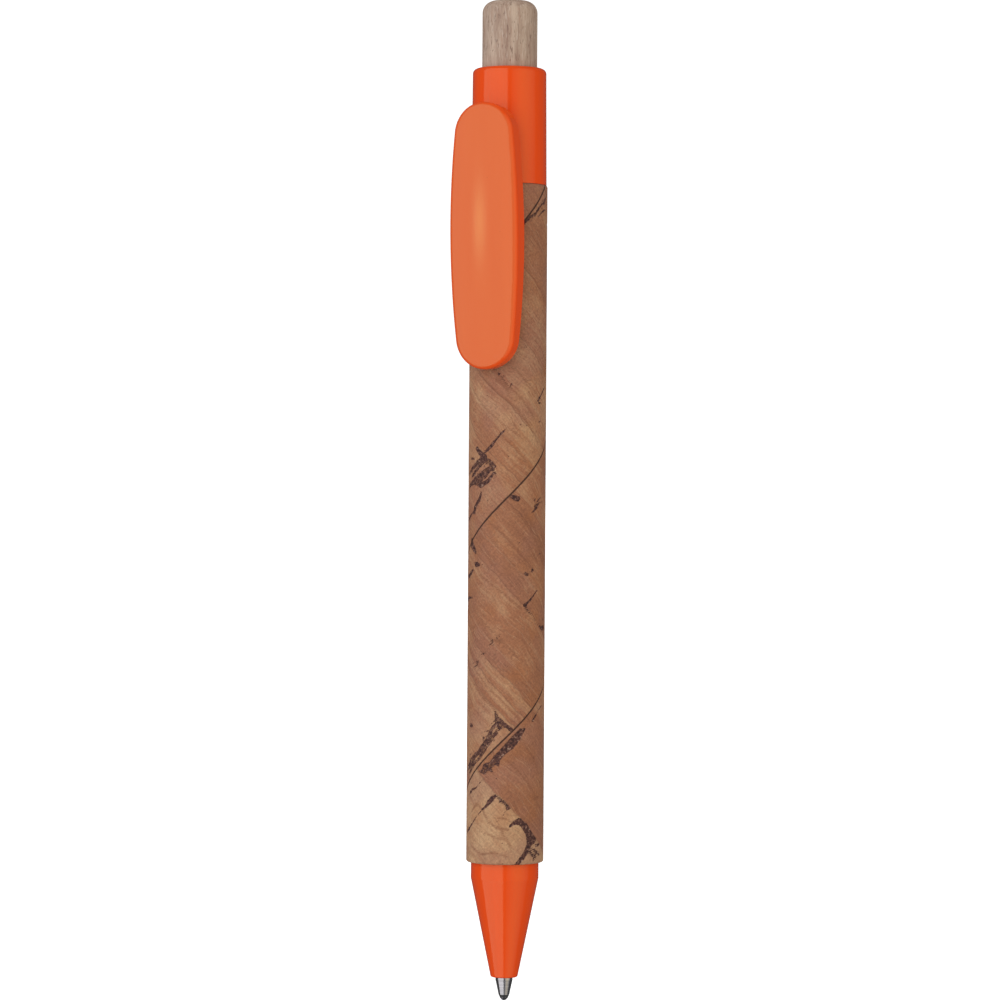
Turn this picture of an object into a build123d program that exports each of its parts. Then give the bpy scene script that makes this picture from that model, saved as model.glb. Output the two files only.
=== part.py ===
from build123d import *
import os

# A push-button ballpoint pen in its writing position, every dimension in millimetres.
# +Z runs from the tip to the push button, and the clip faces -Y.
# The origin is on the pen's axis, at the lower end of the cork-covered barrel.

# Barrel: a spiral-wound paper tube of two plies with a cork ply round it
BARREL_LENGTH = 94.65
BARREL_DIAMETER = 10.85
CORK_THICKNESS = 0.70
PAPER_PLY_THICKNESS = 0.35

# Collar above the barrel
COLLAR_TOP_Z = 110.95
COLLAR_TOP_DIAMETER = 10.30
COLLAR_FOOT_DIAMETER = 10.55
COLLAR_BORE_DIAMETER = 7.90
COLLAR_ROUNDING = 0.70

# Wooden push button and the plunger fixed in it
BUTTON_DIAMETER = 7.72
BUTTON_FOOT_Z = 102.55
BUTTON_TOP_Z = 120.55
BUTTON_DOME_HEIGHT = 0.30
BUTTON_ROUNDING = 1.70
PLUNGER_STEM_DIAMETER = 4.00
PLUNGER_STEM_LENGTH = 10.6
BUTTON_HOLE_DEPTH = 11.0
PLUNGER_SHOULDER_DIAMETER = 7.00
PLUNGER_SHOULDER_THICKNESS = 0.80
PLUNGER_NECK_DIAMETER = 5.20
PLUNGER_RIB_TOP_Z = 91.45
PLUNGER_RIB_FOOT_Z = 87.40
CROWN_TIP_Z = 86.60

# Slotted cam guide and the rotor that turns under it
GUIDE_FOOT_Z = 80.50
GUIDE_TOP_Z = 98.50
GUIDE_LIP_Z = 97.05
LAND_FOOT_Z = 86.55
LAND_RELIEF = 0.10
LAND_INNER_DIAMETER = 5.60
SLOT_DIAMETER = 6.60
SLOT_ANGLE = 40.0
RIB_DIAMETER = 6.40
RIB_ANGLE = 36.0
CAM_COUNT = 4
CROWN_TOOTH_COUNT = 8
CROWN_TOOTH_HEIGHT = 0.60
ROTOR_TIP_Z = 86.40
ROTOR_FOOT_Z = 82.05
ROTOR_DIAMETER = 4.40
ROTOR_STEM_DIAMETER = 1.90
ROTOR_STEM_LENGTH = 4.0
CAM_SLOPE = 35.0
CAM_SLOPE_DROP = 0.545
ROTOR_RIM_HEIGHT = 0.50

# Clip, a separate moulding whose foot sits in a window in the collar
CLIP_FOOT_Z = 68.65
CLIP_TOP_Z = 105.55
CLIP_WIDTH = 10.40
CLIP_SHOULDER_WIDTH = 8.95
CLIP_END_LENGTH = 4.20
CLIP_REACH_FOOT = 8.00
CLIP_REACH_MIDDLE = 8.95
CLIP_REACH_TOP = 9.00
CLIP_GAP_FOOT = 6.20
CLIP_GAP_MIDDLE = 6.60
CLIP_GAP_TOP = 6.90
CLIP_CROWN_RADIUS = 19.0
CLIP_CROWN_SWEEP = 50.0
CLIP_OUTER_ROUNDING = 0.75
CLIP_EDGE_DEPTH = 7.25
CLIP_STUD_WIDTH = 5.0
CLIP_STUD_HEIGHT = 5.0
CLIP_STUD_Z = 100.0
CLIP_STUD_END = 4.30
CLIP_STUD_ROOT = 7.25
WINDOW_CLEARANCE = 0.15

# Nose cone
CONE_FRONT_Z = -16.15
CONE_BREAK_Z = -2.25
CONE_FRONT_DIAMETER = 3.75
CONE_DIAMETER = 9.48
CONE_SHANK_LENGTH = 12.0
CONE_FIT_CLEARANCE = 0.05
CONE_FRONT_ROUNDING = 0.25
CONE_BORE_DIAMETER = 2.56
SPRING_SEAT_Z = -11.50
SPRING_CHAMBER_DIAMETER = 4.40
CONE_SHANK_BORE_DIAMETER = 5.80

# Refill
POINT_DIAMETER = 2.40
POINT_TAPER_Z = -16.55
POINT_WAIST_Z = -18.60
POINT_WAIST_DIAMETER = 1.52
POINT_LIP_Z = -19.15
POINT_LIP_DIAMETER = 1.04
POINT_SHANK_DIAMETER = 1.60
POINT_SHANK_LENGTH = 5.5
INK_CHANNEL_DIAMETER = 0.70
BALL_DIAMETER = 1.00
BALL_Z = -18.95
BALL_CLEARANCE = 0.015
HOLDER_FRONT_Z = -9.50
HOLDER_DIAMETER = 2.90
HOLDER_SHOULDER_Z = 3.00
HOLDER_SHOULDER_THICKNESS = 1.00
HOLDER_SHOULDER_DIAMETER = 4.00
HOLDER_SPIGOT_LENGTH = 5.0
INK_TUBE_DIAMETER = 3.00
INK_TUBE_BORE_DIAMETER = 2.00
INK_TUBE_TOP_Z = 82.00
INK_TOP_Z = 66.0
GREASE_LENGTH = 3.0

# Return spring, between the seat in the cone and the holder's shoulder
SPRING_WIRE_DIAMETER = 0.35
SPRING_MEAN_DIAMETER = 3.60
SPRING_TURNS = 11

UPWARDS = (Align.CENTER, Align.CENTER, Align.MIN)
MATCH_TOLERANCE = 0.01


def rod(diameter, low_z, high_z):
    """A round bar on the pen's axis between two heights."""
    return Pos(0, 0, low_z) * Cylinder(diameter / 2, high_z - low_z, align=UPWARDS)


def tube(outer_diameter, inner_diameter, low_z, high_z):
    """A plain round tube on the pen's axis."""
    return rod(outer_diameter, low_z, high_z) - rod(inner_diameter, low_z, high_z)


def turned(outline):
    """A solid of revolution about the pen's axis, from corners given as (radius, z)."""
    face = make_face(Polyline(*[(radius, 0, z) for radius, z in outline], close=True))
    return revolve(face, Axis.Z)


def sector(diameter, angle, low_z, high_z):
    """A round bar cut down to a slice centred on the +X direction."""
    reach = diameter
    half = angle / 2
    slice_face = make_face(
        Polyline(
            (0, 0),
            Vector(reach, 0).rotate(Axis.Z, -half),
            Vector(reach, 0).rotate(Axis.Z, half),
            close=True,
        )
    )
    wedge = Pos(0, 0, low_z) * extrude(slice_face, high_z - low_z)
    return rod(diameter, low_z, high_z) & wedge


def round_array(shape, count, start=0.0):
    """Copies of a shape, evenly spaced about the pen's axis."""
    return [Rot(0, 0, start + index * 360 / count) * shape for index in range(count)]


def slope_cutter(tip_z, side):
    """A tilted block over one cam rib or land; side is +1 for above it and -1 for below."""
    block = Box(SLOT_DIAMETER, 2 * SLOT_DIAMETER, SLOT_DIAMETER)
    lifted = Pos(SLOT_DIAMETER / 2, 0, side * SLOT_DIAMETER / 2) * block
    return Pos(0, 0, tip_z - side * CAM_SLOPE_DROP) * Rot(CAM_SLOPE, 0, 0) * lifted


def round_edge_at(shape, z, radius, rounding):
    """Rounds the circular edge of a turned shape that lies at one height and radius."""
    circles = [
        edge
        for edge in shape.edges().filter_by(GeomType.CIRCLE)
        if abs(edge.center().Z - z) < MATCH_TOLERANCE and abs(edge.radius - radius) < MATCH_TOLERANCE
    ]
    return fillet(circles, rounding)


def make_barrel():
    """The cork ply and the two paper plies under it, wound one on the other."""
    cork_bore = BARREL_DIAMETER - 2 * CORK_THICKNESS
    outer_ply_bore = cork_bore - 2 * PAPER_PLY_THICKNESS
    inner_ply_bore = outer_ply_bore - 2 * PAPER_PLY_THICKNESS
    return {
        "cork_wrap": tube(BARREL_DIAMETER, cork_bore, 0, BARREL_LENGTH),
        "paper_outer_ply": tube(cork_bore, outer_ply_bore, 0, BARREL_LENGTH),
        "paper_inner_ply": tube(outer_ply_bore, inner_ply_bore, 0, BARREL_LENGTH),
    }


def barrel_bore():
    """The inside diameter of the wound paper tube."""
    return BARREL_DIAMETER - 2 * CORK_THICKNESS - 4 * PAPER_PLY_THICKNESS


def make_collar():
    """The plain upper sleeve, with its rounded rim and the window for the clip's stud."""
    body = turned(
        [
            (COLLAR_BORE_DIAMETER / 2, BARREL_LENGTH),
            (COLLAR_FOOT_DIAMETER / 2, BARREL_LENGTH),
            (COLLAR_TOP_DIAMETER / 2, COLLAR_TOP_Z),
            (COLLAR_BORE_DIAMETER / 2, COLLAR_TOP_Z),
        ]
    )
    body = round_edge_at(body, COLLAR_TOP_Z, COLLAR_TOP_DIAMETER / 2, COLLAR_ROUNDING)
    window = Box(
        CLIP_STUD_WIDTH + 2 * WINDOW_CLEARANCE,
        COLLAR_FOOT_DIAMETER,
        CLIP_STUD_HEIGHT + 2 * WINDOW_CLEARANCE,
    )
    return body - Pos(0, -COLLAR_FOOT_DIAMETER / 2, CLIP_STUD_Z) * window


def make_guide():
    """The cam guide: a sleeve with four sloped lands inside, and a lip that stops the plunger."""
    foot = tube(barrel_bore(), SLOT_DIAMETER, GUIDE_FOOT_Z, LAND_FOOT_Z)
    lands = tube(barrel_bore(), LAND_INNER_DIAMETER, LAND_FOOT_Z, BARREL_LENGTH)
    lands += tube(COLLAR_BORE_DIAMETER, LAND_INNER_DIAMETER, BARREL_LENGTH, GUIDE_TOP_Z)
    for cut in round_array(sector(SLOT_DIAMETER, SLOT_ANGLE, LAND_FOOT_Z, GUIDE_LIP_Z), CAM_COUNT):
        lands -= cut
    relief = rod(SLOT_DIAMETER + LAND_RELIEF, LAND_FOOT_Z, GUIDE_LIP_Z)
    land_slice = sector(SLOT_DIAMETER * 2, 360 / CAM_COUNT - SLOT_ANGLE, LAND_FOOT_Z, GUIDE_LIP_Z)
    land_slope = slope_cutter(LAND_FOOT_Z, -1) & relief & land_slice
    for cut in round_array(land_slope, CAM_COUNT, start=180 / CAM_COUNT):
        lands -= cut
    return foot + lands


def make_button():
    """The turned wooden button, with a slightly domed top and a blind hole for the plunger."""
    radius = BUTTON_DIAMETER / 2
    rim_z = BUTTON_TOP_Z - BUTTON_DOME_HEIGHT
    sides = Polyline((0, 0, BUTTON_FOOT_Z), (radius, 0, BUTTON_FOOT_Z), (radius, 0, rim_z))
    dome = ThreePointArc(
        (radius, 0, rim_z),
        (radius / 2, 0, BUTTON_TOP_Z - BUTTON_DOME_HEIGHT / 4),
        (0, 0, BUTTON_TOP_Z),
    )
    middle = Line(dome @ 1, sides @ 0)
    blank = revolve(make_face([sides, dome, middle]), Axis.Z)
    blank = round_edge_at(blank, rim_z, radius, BUTTON_ROUNDING)
    hole_top = BUTTON_FOOT_Z + BUTTON_HOLE_DEPTH
    return blank - rod(PLUNGER_STEM_DIAMETER, BUTTON_FOOT_Z, hole_top)


def make_plunger():
    """The button's plunger: stem, shoulder, neck, four guide ribs and a toothed crown."""
    shoulder_foot = BUTTON_FOOT_Z - PLUNGER_SHOULDER_THICKNESS
    stem_top = BUTTON_FOOT_Z + PLUNGER_STEM_LENGTH
    body = rod(PLUNGER_STEM_DIAMETER, BUTTON_FOOT_Z, stem_top)
    body += rod(PLUNGER_SHOULDER_DIAMETER, shoulder_foot, BUTTON_FOOT_Z)
    body += rod(PLUNGER_NECK_DIAMETER, CROWN_TIP_Z, shoulder_foot)
    rib = sector(RIB_DIAMETER, RIB_ANGLE, PLUNGER_RIB_FOOT_Z, PLUNGER_RIB_TOP_Z)
    for copy in round_array(rib, CAM_COUNT):
        body += copy
    notch_profile = make_face(
        Polyline(
            (-CROWN_TOOTH_HEIGHT, CROWN_TIP_Z),
            (0, CROWN_TIP_Z + CROWN_TOOTH_HEIGHT),
            (CROWN_TOOTH_HEIGHT, CROWN_TIP_Z),
            close=True,
        )
    )
    notch = extrude(Plane.XZ * notch_profile, -PLUNGER_NECK_DIAMETER)
    for cut in round_array(notch, CROWN_TOOTH_COUNT, start=180 / CROWN_TOOTH_COUNT):
        body -= cut
    return body


def make_rotor():
    """The rotor: four sloped ribs on a hub, with a stem that turns in the ink tube's end."""
    hub = rod(ROTOR_DIAMETER, ROTOR_FOOT_Z, ROTOR_TIP_Z)
    rib = sector(RIB_DIAMETER, RIB_ANGLE, ROTOR_FOOT_Z + ROTOR_RIM_HEIGHT, ROTOR_TIP_Z)
    rib -= slope_cutter(ROTOR_TIP_Z, 1)
    for copy in round_array(rib, CAM_COUNT):
        hub += copy
    return hub + rod(ROTOR_STEM_DIAMETER, ROTOR_FOOT_Z - ROTOR_STEM_LENGTH, ROTOR_FOOT_Z)


def clip_side_profile():
    """The clip seen from the side on its middle line: an outer arc and an inner arc."""
    middle_z = (CLIP_FOOT_Z + CLIP_TOP_Z) / 2
    outer = ThreePointArc(
        (0, -CLIP_REACH_FOOT, CLIP_FOOT_Z),
        (0, -CLIP_REACH_MIDDLE, middle_z),
        (0, -CLIP_REACH_TOP, CLIP_TOP_Z),
    )
    inner = ThreePointArc(
        (0, -CLIP_GAP_TOP, CLIP_TOP_Z),
        (0, -CLIP_GAP_MIDDLE, middle_z),
        (0, -CLIP_GAP_FOOT, CLIP_FOOT_Z),
    )
    top = Line(outer @ 1, inner @ 0)
    foot = Line(inner @ 1, outer @ 0)
    return make_face([outer, top, inner, foot])


def clip_outline():
    """The clip seen from the front: two long side arcs and two round ends."""
    middle_z = (CLIP_FOOT_Z + CLIP_TOP_Z) / 2
    half = CLIP_WIDTH / 2
    shoulder = CLIP_SHOULDER_WIDTH / 2
    low_z = CLIP_FOOT_Z + CLIP_END_LENGTH
    high_z = CLIP_TOP_Z - CLIP_END_LENGTH
    right = ThreePointArc((shoulder, 0, low_z), (half, 0, middle_z), (shoulder, 0, high_z))
    top = ThreePointArc((shoulder, 0, high_z), (0, 0, CLIP_TOP_Z), (-shoulder, 0, high_z))
    left = ThreePointArc((-shoulder, 0, high_z), (-half, 0, middle_z), (-shoulder, 0, low_z))
    foot = ThreePointArc((-shoulder, 0, low_z), (0, 0, CLIP_FOOT_Z), (shoulder, 0, low_z))
    return make_face([right, top, left, foot])


def make_clip():
    """The bowed, crowned clip, rounded all round, with the stud that enters the collar."""
    crown_axis = Axis((0, CLIP_CROWN_RADIUS - CLIP_REACH_MIDDLE, 0), (0, 0, 1))
    profile = clip_side_profile().rotate(crown_axis, -CLIP_CROWN_SWEEP / 2)
    crowned = revolve(profile, crown_axis, revolution_arc=CLIP_CROWN_SWEEP)
    body = crowned & extrude(clip_outline(), CLIP_REACH_MIDDLE * 2, both=True)
    rim_edges = [edge for edge in body.edges() if edge.geom_type != GeomType.LINE]
    outer_edges = [edge for edge in rim_edges if edge.center().Y < -CLIP_EDGE_DEPTH]
    body = fillet(outer_edges, CLIP_OUTER_ROUNDING)
    stud = Box(
        CLIP_STUD_WIDTH,
        CLIP_STUD_ROOT - CLIP_STUD_END,
        CLIP_STUD_HEIGHT,
        align=(Align.CENTER, Align.MAX, Align.CENTER),
    )
    return body + Pos(0, -CLIP_STUD_END, CLIP_STUD_Z) * stud


def make_nose_cone():
    """The nose cone: a taper, a short band, and a shank that pushes into the paper tube."""
    shank_radius = barrel_bore() / 2 - CONE_FIT_CLEARANCE
    body = turned(
        [
            (0, CONE_FRONT_Z),
            (CONE_FRONT_DIAMETER / 2, CONE_FRONT_Z),
            (CONE_DIAMETER / 2, CONE_BREAK_Z),
            (CONE_DIAMETER / 2, 0),
            (shank_radius, 0),
            (shank_radius, CONE_SHANK_LENGTH),
            (0, CONE_SHANK_LENGTH),
        ]
    )
    body = round_edge_at(body, CONE_FRONT_Z, CONE_FRONT_DIAMETER / 2, CONE_FRONT_ROUNDING)
    bore = turned(
        [
            (0, CONE_FRONT_Z),
            (CONE_BORE_DIAMETER / 2, CONE_FRONT_Z),
            (CONE_BORE_DIAMETER / 2, SPRING_SEAT_Z),
            (SPRING_CHAMBER_DIAMETER / 2, SPRING_SEAT_Z),
            (SPRING_CHAMBER_DIAMETER / 2, SPRING_SEAT_Z / 2),
            (CONE_SHANK_BORE_DIAMETER / 2, 0),
            (CONE_SHANK_BORE_DIAMETER / 2, CONE_SHANK_LENGTH),
            (0, CONE_SHANK_LENGTH),
        ]
    )
    return body - bore


def make_spring():
    """The return spring, a round wire wound between the cone's seat and the holder's shoulder."""
    low_z = SPRING_SEAT_Z + SPRING_WIRE_DIAMETER
    length = HOLDER_SHOULDER_Z - SPRING_WIRE_DIAMETER - low_z
    path = Helix(length / SPRING_TURNS, length, SPRING_MEAN_DIAMETER / 2)
    section = Plane(path @ 0, z_dir=path % 0) * Circle(SPRING_WIRE_DIAMETER / 2)
    return Pos(0, 0, low_z) * sweep(section, path)


def make_refill():
    """The refill: metal point with its ball, plastic holder, ink tube, ink and grease plug."""
    spigot_top = HOLDER_SHOULDER_Z + HOLDER_SHOULDER_THICKNESS + HOLDER_SPIGOT_LENGTH
    shank_top = HOLDER_FRONT_Z + POINT_SHANK_LENGTH
    point = turned(
        [
            (0, POINT_LIP_Z),
            (POINT_LIP_DIAMETER / 2, POINT_LIP_Z),
            (POINT_WAIST_DIAMETER / 2, POINT_WAIST_Z),
            (POINT_DIAMETER / 2, POINT_TAPER_Z),
            (POINT_DIAMETER / 2, HOLDER_FRONT_Z),
            (POINT_SHANK_DIAMETER / 2, HOLDER_FRONT_Z),
            (POINT_SHANK_DIAMETER / 2, shank_top),
            (0, shank_top),
        ]
    )
    point -= Pos(0, 0, BALL_Z) * Sphere(BALL_DIAMETER / 2 + BALL_CLEARANCE)
    point -= rod(INK_CHANNEL_DIAMETER, BALL_Z, shank_top)
    shoulder_top = HOLDER_SHOULDER_Z + HOLDER_SHOULDER_THICKNESS
    holder = rod(HOLDER_DIAMETER, HOLDER_FRONT_Z, HOLDER_SHOULDER_Z)
    holder += rod(HOLDER_SHOULDER_DIAMETER, HOLDER_SHOULDER_Z, shoulder_top)
    holder += rod(INK_TUBE_BORE_DIAMETER, shoulder_top, spigot_top)
    holder -= rod(POINT_SHANK_DIAMETER, HOLDER_FRONT_Z, shank_top)
    holder -= rod(INK_CHANNEL_DIAMETER, shank_top, spigot_top)
    return {
        "writing_ball": Pos(0, 0, BALL_Z) * Sphere(BALL_DIAMETER / 2),
        "writing_point": point,
        "point_holder": holder,
        "ink_tube": tube(INK_TUBE_DIAMETER, INK_TUBE_BORE_DIAMETER, shoulder_top, INK_TUBE_TOP_Z),
        "ink_column": rod(INK_TUBE_BORE_DIAMETER, spigot_top, INK_TOP_Z),
        "grease_plug": rod(INK_TUBE_BORE_DIAMETER, INK_TOP_Z, INK_TOP_Z + GREASE_LENGTH),
        "return_spring": make_spring(),
    }


def main():
    """Builds every piece and writes each one to its own file."""
    pieces = {
        "push_button": make_button(),
        "plunger": make_plunger(),
        "rotor": make_rotor(),
        "cam_guide": make_guide(),
        "collar": make_collar(),
        "clip": make_clip(),
        "nose_cone": make_nose_cone(),
    }
    pieces.update(make_barrel())
    pieces.update(make_refill())
    os.makedirs("parts", exist_ok=True)
    for name, shape in pieces.items():
        export_step(shape, f"parts/{name}.step")


main()
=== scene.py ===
import math
import random

import bpy
import numpy as np
from bpy.props import FloatProperty, FloatVectorProperty, IntProperty, PointerProperty
from mathutils import Matrix, Vector, noise


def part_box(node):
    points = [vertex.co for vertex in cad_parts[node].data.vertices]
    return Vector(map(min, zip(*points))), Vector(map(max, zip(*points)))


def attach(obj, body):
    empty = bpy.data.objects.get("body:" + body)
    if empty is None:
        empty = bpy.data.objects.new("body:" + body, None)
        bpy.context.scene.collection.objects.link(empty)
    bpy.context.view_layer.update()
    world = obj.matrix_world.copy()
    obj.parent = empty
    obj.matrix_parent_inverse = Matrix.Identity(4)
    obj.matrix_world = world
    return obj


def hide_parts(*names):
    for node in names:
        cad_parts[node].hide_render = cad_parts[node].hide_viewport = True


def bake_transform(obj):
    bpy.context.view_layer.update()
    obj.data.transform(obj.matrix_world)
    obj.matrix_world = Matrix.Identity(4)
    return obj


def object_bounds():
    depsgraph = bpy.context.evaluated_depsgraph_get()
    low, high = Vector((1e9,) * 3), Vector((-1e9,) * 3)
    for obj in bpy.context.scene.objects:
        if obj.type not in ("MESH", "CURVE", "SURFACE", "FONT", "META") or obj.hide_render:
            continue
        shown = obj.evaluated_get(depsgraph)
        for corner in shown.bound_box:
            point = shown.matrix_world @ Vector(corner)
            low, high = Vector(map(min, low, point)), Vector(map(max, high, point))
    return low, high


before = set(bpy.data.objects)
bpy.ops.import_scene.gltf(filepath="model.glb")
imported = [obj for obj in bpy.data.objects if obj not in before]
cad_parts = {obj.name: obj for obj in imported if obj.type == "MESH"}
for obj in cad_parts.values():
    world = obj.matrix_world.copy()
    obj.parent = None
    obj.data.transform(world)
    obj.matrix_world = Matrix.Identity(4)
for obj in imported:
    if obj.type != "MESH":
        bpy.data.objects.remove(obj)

bl_info = {
    "name": "Cork Barrel Pen Looks",
    "version": (1, 0, 0),
    "blender": (4, 5, 0),
    "location": "View3D > Sidebar > Pen",
    "description": "Builds the visible pieces and finishes of a push-button pen round its packed model",
    "category": "Object",
}

MM = 0.001
CAD_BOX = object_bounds()
# The width of the paper strip that is wound into each ply of the tube.
KRAFT_WIDTH = 25 * MM


def linear(hex_colour):
    """An sRGB hex colour as linear red, green, blue and alpha."""
    channels = [int(hex_colour[i:i + 2], 16) / 255 for i in (1, 3, 5)]
    curve = [c / 12.92 if c <= 0.04045 else ((c + 0.055) / 1.055) ** 2.4 for c in channels]
    return (*curve, 1.0)


def colour_prop(name, description, hex_colour):
    """A colour setting whose default is an sRGB hex value."""
    return FloatVectorProperty(
        name=name, description=description, subtype="COLOR", size=3, min=0.0, max=1.0,
        default=linear(hex_colour)[:3],
    )


# ---------------------------------------------------------------- settings


class PlasticSettings(bpy.types.PropertyGroup):
    """Colours of the moulded collar, clip and nose cone."""
    colour: colour_prop("Plastic colour", "Pigment of the collar and the cone", "#F35217")
    flow_colour: colour_prop(
        "Flow colour", "Slightly deeper pigment where the melt flowed slowly", "#EA4914",
    )
    # Painted reflection: the two clip colours are the collar's orange made lighter and yellower, standing
    # in for the key soft box's sheen on the clip's face.
    clip_painted_sheen_colour: colour_prop("Clip colour", "The clip face's orange, lightened and yellowed by a painted reflection", "#E66531")
    clip_painted_sheen_flow_colour: colour_prop("Clip flow colour", "Deeper orange along the clip, lightened by the same painted reflection", "#E45E2B")
    roughness: FloatProperty(name="Roughness", description="Gloss left by the polished mould", default=0.12)


class CorkSettings(bpy.types.PropertyGroup):
    """Sizes and colours of the cork ply."""
    base: colour_prop("Cork", "Main colour of the sanded cork", "#A06A4B")
    light: colour_prop("Light cork", "Paler veneer patches", "#C59F79")
    deep: colour_prop("Deep cork", "Redder, darker veneer patches", "#87533B")
    bark: colour_prop("Bark", "Dark bark inclusions and the seam", "#3A2322")
    seam_height: FloatProperty(
        name="Seam height", description="Height at which the helical seam crosses the show side",
        subtype="DISTANCE", unit="LENGTH", default=50.9 * MM,
    )
    show_angle: FloatProperty(
        name="Show angle", description="Angle about the axis of the show side, from the clip towards +X",
        subtype="ANGLE", unit="ROTATION", default=math.radians(26),
    )
    seam_depth: FloatProperty(
        name="Seam depth", description="Depth of the groove at the butt seam",
        subtype="DISTANCE", unit="LENGTH", default=0.10 * MM,
    )
    edge_rounding: FloatProperty(
        name="Edge rounding", description="Wear that rounds the cut ends of the cork",
        subtype="DISTANCE", unit="LENGTH", default=0.32 * MM,
    )


class ButtonSettings(bpy.types.PropertyGroup):
    """Colours of the turned wooden button."""
    light: colour_prop("Light wood", "Early wood of the button", "#C6AF9C")
    dark: colour_prop("Dark wood", "Late wood lines of the button", "#947666")


class RefillSettings(bpy.types.PropertyGroup):
    """Sizes of the return spring."""
    wire: FloatProperty(
        name="Wire", description="Diameter of the spring's wire",
        subtype="DISTANCE", unit="LENGTH", default=0.35 * MM,
    )
    closed_turns: FloatProperty(
        name="Closed turns", description="Turns wound tight at each end", default=1.75,
    )
    open_turns: FloatProperty(name="Open turns", description="Turns wound with a gap", default=8.5)
    segments: IntProperty(name="Segments", description="Pieces of wire in each turn", default=28)


class StageSettings(bpy.types.PropertyGroup):
    """Camera, lights and backdrop."""
    distance: FloatProperty(
        name="Camera distance", description="From the camera to the pen's axis",
        subtype="DISTANCE", unit="LENGTH", default=0.500,
    )
    azimuth: FloatProperty(
        name="Camera azimuth", description="How far round from the clip's side the camera stands",
        subtype="ANGLE", unit="ROTATION", default=math.radians(26),
    )
    lens: FloatProperty(
        name="Lens", description="Focal length on a 36 mm sensor, in millimetres", default=128.5,
    )
    roll: FloatProperty(
        name="Camera roll", description="How far the camera is turned about its own line of sight",
        subtype="ANGLE", unit="ROTATION", default=math.radians(0.36),
    )
    paper: colour_prop("Backdrop", "Studio paper behind and under the pen", "#FFFFFF")


# ---------------------------------------------------------------- helpers


def add_node(tree, kind, inputs=None, stops=None, **settings):
    """One node with its settings, its input values or links, and its colour stops."""
    made = tree.nodes.new(kind)
    for name, value in settings.items():
        setattr(made, name, value)
    for key, value in (inputs or {}).items():
        if isinstance(value, bpy.types.NodeSocket):
            tree.links.new(value, made.inputs[key])
        else:
            made.inputs[key].default_value = value
    for index, (place, colour) in enumerate(stops or []):
        elements = made.color_ramp.elements
        stop = elements[index] if index < 2 else elements.new(place)
        stop.position = place
        stop.color = colour
    return made


def new_material(name):
    """A node material with nothing in it yet."""
    material = bpy.data.materials.new(name)
    material.use_nodes = True
    material.node_tree.nodes.clear()
    return material, material.node_tree


def end_material(tree, height, strength, depth, values):
    """Ends a material: relief from a pattern's height, the shader with its values, and the output."""
    relief = add_node(tree, "ShaderNodeBump", {"Height": height, "Strength": strength, "Distance": depth})
    shader = add_node(tree, "ShaderNodeBsdfPrincipled", {"Normal": relief.outputs["Normal"], **values})
    add_node(tree, "ShaderNodeOutputMaterial", {"Surface": shader.outputs["BSDF"]})


def object_place(tree, stretch=(1, 1, 1)):
    """Object coordinates in millimetres, stretched for a pattern."""
    place = add_node(tree, "ShaderNodeTexCoord").outputs["Object"]
    per_mm = tuple(value / MM for value in stretch)
    return add_node(tree, "ShaderNodeMapping", {"Vector": place, "Scale": per_mm}).outputs["Vector"]


def wandering(tree, place, per_mm, reach):
    """A place pushed about by soft noise, so that a pattern drawn on it wanders."""
    sway = add_node(tree, "ShaderNodeTexNoise", {"Vector": place, "Scale": per_mm, "Detail": 3.0})
    return add_node(
        tree, "ShaderNodeVectorMath", {0: sway.outputs["Color"], 1: reach, 2: place},
        operation="MULTIPLY_ADD",
    ).outputs["Vector"]


def drawn_noise(tree, place, per_mm, detail=3.0, roughness=0.55, stretch=(1, 1, 1)):
    """Fractal noise drawn out along an axis, as grain, streaks, flow marks and pores are."""
    drawn = add_node(tree, "ShaderNodeMapping", {"Vector": place, "Scale": stretch}).outputs["Vector"]
    return add_node(
        tree, "ShaderNodeTexNoise",
        {"Vector": drawn, "Scale": per_mm, "Detail": detail, "Roughness": roughness},
    ).outputs["Fac"]


def tint_where(tree, colour, pattern, low, high, strength, tint):
    """Tints a colour where a pattern rises from low to high, by no more than the strength."""
    share = add_node(
        tree, "ShaderNodeMapRange",
        {"Value": pattern, "From Min": low, "From Max": high, "To Max": strength},
        interpolation_type="SMOOTHSTEP",
    ).outputs["Result"]
    return add_node(
        tree, "ShaderNodeMix", {"Factor": share, "A": colour, "B": tint}, data_type="RGBA",
    ).outputs["Result"]


def sum_of(tree, *terms):
    """Patterns added up by their weights, given as (pattern, weight)."""
    total = 0.0
    for pattern, weight in terms:
        total = add_node(
            tree, "ShaderNodeMath", {0: pattern, 1: weight, 2: total}, operation="MULTIPLY_ADD",
        ).outputs["Value"]
    return total


def finish_cad(node_name, material):
    """Gives a CAD node its finish."""
    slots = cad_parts[node_name].data.materials
    slots.clear()
    slots.append(material)


def make_piece(name, verts, faces, material):
    """A smooth mesh object at the origin, with its place in its mesh."""
    mesh = bpy.data.meshes.new(name)
    mesh.from_pydata([tuple(v) for v in verts], [], faces)
    mesh.validate()
    mesh.polygons.foreach_set("use_smooth", [True] * len(mesh.polygons))
    mesh.materials.append(material)
    piece = bpy.data.objects.new(name, mesh)
    bpy.context.scene.collection.objects.link(piece)
    return piece


# ---------------------------------------------------------------- finishes
# The noise scales are in waves for each millimetre, so 0.45 is a mark about 2 mm across.


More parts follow.
